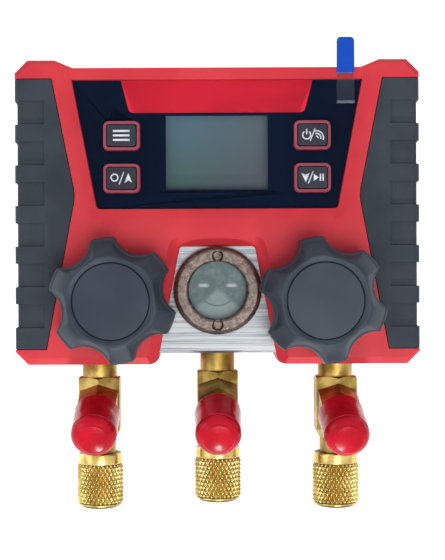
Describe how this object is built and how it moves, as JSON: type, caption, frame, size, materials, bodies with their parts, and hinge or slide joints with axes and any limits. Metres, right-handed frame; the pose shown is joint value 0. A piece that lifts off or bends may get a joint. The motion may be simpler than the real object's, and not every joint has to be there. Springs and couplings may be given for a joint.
{
  "type": "refrigerant manifold gauge",
  "caption": "Digital refrigerant manifold: red housing with soft side grips, screen with keys, aluminium valve block, sight glass, lobed handwheels and capped brass hose tees.",
  "frame": {"origin": "middle of the flat back face, on the centre line at mid-height of the housing", "axes": "+Z out of the display, +Y towards the top edge of the housing, +X to the right seen from the front"},
  "size_m": [0.1372, 0.1599, 0.0596],
  "materials": {
    "battery_wrap": "shrink wrap",
    "black_door": "fine grain",
    "black_print": "printed foil",
    "block_aluminium": "brushed",
    "board_green": "solder mask",
    "clear_lens": "polished",
    "film_blue": "thin film",
    "key_plastic": "satin",
    "key_trim": "satin",
    "nickel_ring": "tarnished nickel",
    "plain_steel": "plain bright",
    "port_brass": "turned and forged",
    "red_housing": "fine satin moulding",
    "red_vinyl": "glossy dipped vinyl",
    "screen_glass": "grey-green liquid crystal panel",
    "seal_rubber": "plain",
    "sight_glass": "polished",
    "soft_grip": "matt soft-touch",
    "switch_black": "plain",
    "wheel_black": "satin moulding",
    "wheel_inlay": "semi-gloss",
    "white_diffuser": "satin"
  },
  "bodies": {
    "housing": {"badge_panel": "red_housing", "batteries": "battery_wrap", "battery_contacts": "plain_steel", "block_screws": "plain_steel", "board_screws": "plain_steel", "centre_tee": "port_brass", "circuit_board": "board_green", "display_lens": "clear_lens", "display_mask": "black_print", "film_tab": "film_blue", "front_housing": "red_housing", "housing_screws": "plain_steel", "key_surrounds": "key_trim", "key_switches": "switch_black", "left_gland": "port_brass", "left_grip": "soft_grip", "left_tee": "port_brass", "manifold_block": "block_aluminium", "passage_plugs": "plain_steel", "pressure_sensors": "plain_steel", "rear_housing": "red_housing", "right_gland": "port_brass", "right_grip": "soft_grip", "right_tee": "port_brass", "screen_backlight": "white_diffuser", "screen_panel": "screen_glass", "sight_glass": "sight_glass", "sight_ring": "nickel_ring", "sight_seal": "seal_rubber", "valve_cores": "port_brass"},
    "left_valve_piston": {"left_piston": "port_brass", "left_piston_ring": "seal_rubber"},
    "left_valve_stem": {"left_stem": "plain_steel", "left_handwheel": "wheel_black", "left_wheel_inlay": "wheel_inlay", "left_wheel_screw": "plain_steel"},
    "right_valve_piston": {"right_piston": "port_brass", "right_piston_ring": "seal_rubber"},
    "right_valve_stem": {"right_stem": "plain_steel", "right_handwheel": "wheel_black", "right_wheel_inlay": "wheel_inlay", "right_wheel_screw": "plain_steel"},
    "menu_button": {"menu_key": "key_plastic"},
    "zero_button": {"zero_key": "key_plastic"},
    "power_button": {"power_key": "key_plastic"},
    "hold_button": {"hold_key": "key_plastic"},
    "left_seal": {"left_cap_seal": "seal_rubber"},
    "left_cap": {"left_blank_cap": "port_brass"},
    "left_vinyl": {"left_vinyl_cap": "red_vinyl"},
    "centre_seal": {"centre_cap_seal": "seal_rubber"},
    "centre_cap": {"centre_blank_cap": "port_brass"},
    "centre_vinyl": {"centre_vinyl_cap": "red_vinyl"},
    "right_seal": {"right_cap_seal": "seal_rubber"},
    "right_cap": {"right_blank_cap": "port_brass"},
    "right_vinyl": {"right_vinyl_cap": "red_vinyl"},
    "bail": {"hanging_bail": "plain_steel"},
    "door": {"battery_door": "black_door"}
  },
  "joints": [
    {"name": "left_valve_lift", "type": "slide", "parent": "housing", "child": "left_valve_piston", "axis": [0, 0, 1], "range_m": [0, 0.0045]},
    {"name": "left_valve_turn", "type": "hinge", "parent": "left_valve_piston", "child": "left_valve_stem", "pos_m": [-0.0344, -0.0294, 0.044], "axis": [0, 0, 1], "range_deg": [0, 1080]},
    {"name": "right_valve_lift", "type": "slide", "parent": "housing", "child": "right_valve_piston", "axis": [0, 0, 1], "range_m": [0, 0.0045]},
    {"name": "right_valve_turn", "type": "hinge", "parent": "right_valve_piston", "child": "right_valve_stem", "pos_m": [0.0344, -0.0294, 0.044], "axis": [0, 0, 1], "range_deg": [0, 1080]},
    {"name": "menu_press", "type": "slide", "parent": "housing", "child": "menu_button", "axis": [0, 0, -1], "range_m": [0, 0.0006], "stiffness_N_per_m": 1500},
    {"name": "zero_press", "type": "slide", "parent": "housing", "child": "zero_button", "axis": [0, 0, -1], "range_m": [0, 0.0006], "stiffness_N_per_m": 1500},
    {"name": "power_press", "type": "slide", "parent": "housing", "child": "power_button", "axis": [0, 0, -1], "range_m": [0, 0.0006], "stiffness_N_per_m": 1500},
    {"name": "hold_press", "type": "slide", "parent": "housing", "child": "hold_button", "axis": [0, 0, -1], "range_m": [0, 0.0006], "stiffness_N_per_m": 1500},
    {"name": "left_cap_draw", "type": "slide", "parent": "housing", "child": "left_seal", "axis": [0, -1, 0], "range_m": [0, 0.01143]},
    {"name": "left_cap_unscrew", "type": "hinge", "parent": "left_seal", "child": "left_cap", "pos_m": [-0.0409, -0.0924, 0.022], "axis": [0, -1, 0], "range_deg": [0, 3240]},
    {"name": "left_vinyl_pull", "type": "slide", "parent": "housing", "child": "left_vinyl", "axis": [-0.0032, -0.3827, 0.9239], "range_m": [0, 0.016]},
    {"name": "centre_cap_draw", "type": "slide", "parent": "housing", "child": "centre_seal", "axis": [0, -1, 0], "range_m": [0, 0.01143]},
    {"name": "centre_cap_unscrew", "type": "hinge", "parent": "centre_seal", "child": "centre_cap", "pos_m": [0, -0.0903, 0.022], "axis": [0, -1, 0], "range_deg": [0, 3240]},
    {"name": "centre_vinyl_pull", "type": "slide", "parent": "housing", "child": "centre_vinyl", "axis": [-0.0032, -0.3827, 0.9239], "range_m": [0, 0.016]},
    {"name": "right_cap_draw", "type": "slide", "parent": "housing", "child": "right_seal", "axis": [0, -1, 0], "range_m": [0, 0.01143]},
    {"name": "right_cap_unscrew", "type": "hinge", "parent": "right_seal", "child": "right_cap", "pos_m": [0.0409, -0.0924, 0.022], "axis": [0, -1, 0], "range_deg": [0, 3240]},
    {"name": "right_vinyl_pull", "type": "slide", "parent": "housing", "child": "right_vinyl", "axis": [0.0419, -0.3827, 0.9229], "range_m": [0, 0.016]},
    {"name": "bail_swing", "type": "hinge", "parent": "housing", "child": "bail", "pos_m": [0, 0.0389, 0.0028], "axis": [1, 0, 0], "range_deg": [0, 180]},
    {"name": "door_lift", "type": "slide", "parent": "housing", "child": "door", "axis": [0, 0, -1], "range_m": [0, 0.012]}
  ],
  "couplings": [
    {"joint": "left_valve_lift", "follows": "left_valve_turn", "m_per_rad": 0.00023873},
    {"joint": "right_valve_lift", "follows": "right_valve_turn", "m_per_rad": 0.00023873},
    {"joint": "left_cap_draw", "follows": "left_cap_unscrew", "m_per_rad": 0.00020213},
    {"joint": "centre_cap_draw", "follows": "centre_cap_unscrew", "m_per_rad": 0.00020213},
    {"joint": "right_cap_draw", "follows": "right_cap_unscrew", "m_per_rad": 0.00020213}
  ]
}
